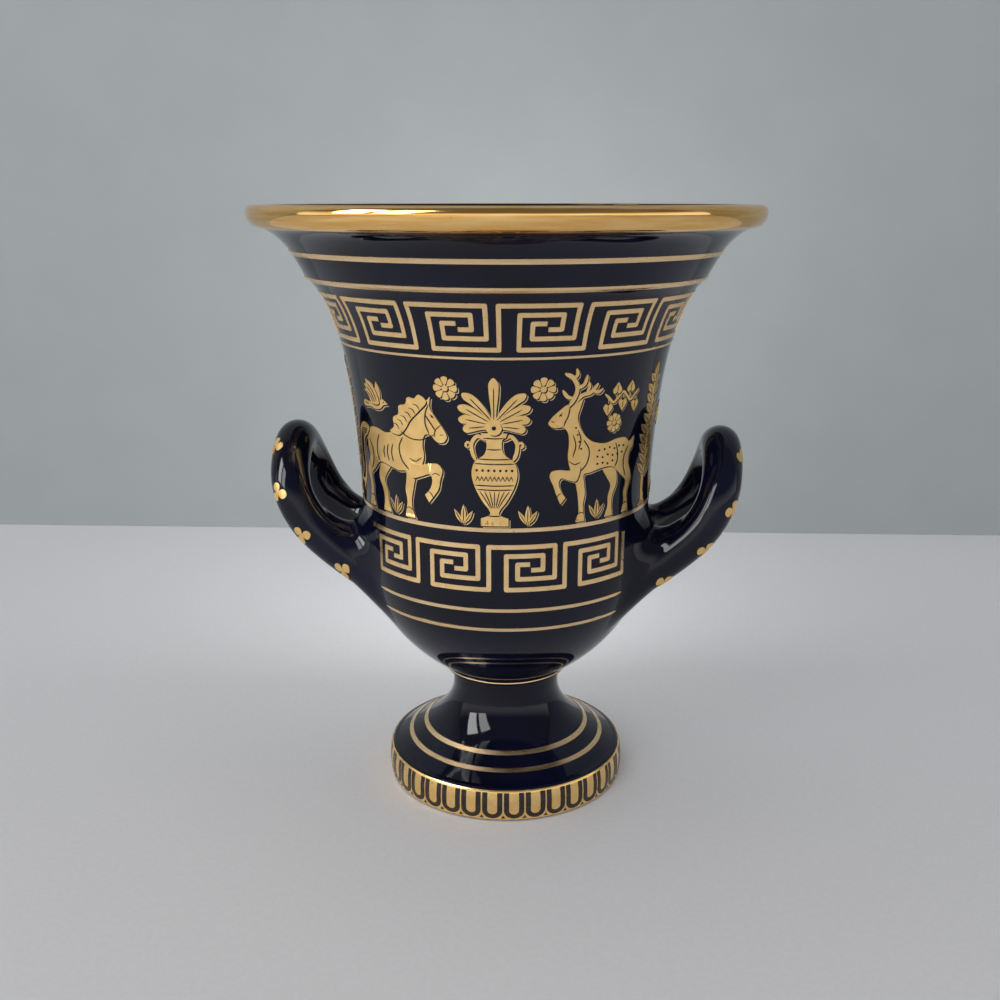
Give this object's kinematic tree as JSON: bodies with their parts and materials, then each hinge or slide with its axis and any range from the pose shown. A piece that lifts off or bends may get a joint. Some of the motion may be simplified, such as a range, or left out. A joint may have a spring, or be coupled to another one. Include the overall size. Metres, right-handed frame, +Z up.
{
  "type": "urn vase",
  "caption": "Glazed ceramic bell krater vase on a trumpet foot, with a flared gilded rim, loop handles and gold bands, for flowers or display.",
  "frame": {"origin": "middle of the foot's underside, on the surface the vase stands on", "axes": "+Z up along the axis the bowl and foot are turned on, handles along X, painted front towards -Y"},
  "size_m": [0.1266, 0.1266, 0.1503],
  "materials": {
    "cobalt_glaze": "high gloss",
    "bright_gold": "polished"
  },
  "bodies": {
    "root": {"bowl": "cobalt_glaze", "pedestal_foot": "cobalt_glaze", "handle_left": "cobalt_glaze", "handle_right": "cobalt_glaze", "rim_gilding": "bright_gold", "neck_line_upper": "bright_gold", "neck_line_lower": "bright_gold", "frieze_line_upper": "bright_gold", "frieze_line_lower": "bright_gold", "belly_line_upper_front": "bright_gold", "belly_line_upper_back": "bright_gold", "belly_line_lower_front": "bright_gold", "belly_line_lower_back": "bright_gold", "waist_ring": "bright_gold", "foot_line_inner": "bright_gold", "foot_line_outer": "bright_gold", "foot_edge_line_upper": "bright_gold", "foot_edge_line_lower": "bright_gold"}
  },
  "joints": []
}
